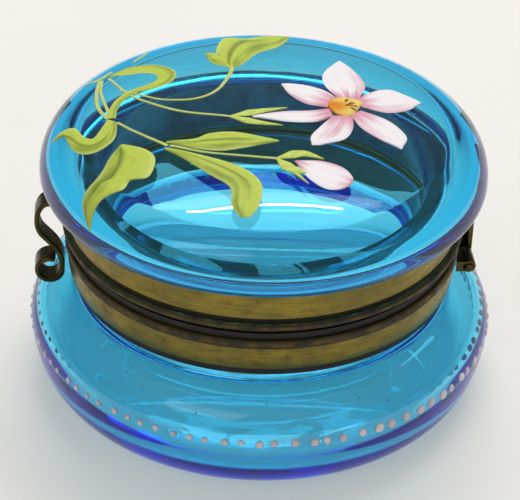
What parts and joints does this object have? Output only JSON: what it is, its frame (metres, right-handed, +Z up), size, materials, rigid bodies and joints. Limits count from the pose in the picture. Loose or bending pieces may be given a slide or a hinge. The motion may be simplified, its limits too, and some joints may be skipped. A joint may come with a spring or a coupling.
{
  "type": "glass pill box",
  "caption": "Round lidded box of clear blue glass with moulded brass mounts, a back hinge, a front thumb clasp and enamel decoration.",
  "frame": {"origin": "centre of the foot, on the surface the box stands on", "axes": "+Z up, clasp towards -Y, hinge towards +Y, hinge pin along X"},
  "size_m": [0.0674, 0.0674, 0.0425],
  "materials": {
    "blue_glass": "clear pale blue glass, polished",
    "brass": "gilt brass with brown and green patina",
    "dark_brass": "brass gone dark with age"
  },
  "bodies": {
    "base": {"glass_base": "blue_glass", "base_collar": "brass", "hinge_knuckle_left": "dark_brass", "hinge_knuckle_right": "dark_brass", "hinge_pin": "dark_brass"},
    "lid": {"glass_lid": "blue_glass", "lid_collar": "brass", "hinge_lid_leaf": "dark_brass", "clasp": "brass"}
  },
  "joints": [
    {"name": "lid_hinge", "type": "hinge", "parent": "base", "child": "lid", "pos_m": [0, 0.0295, 0.01959], "axis": [-1, 0, 0], "range_deg": [0, 100]}
  ]
}
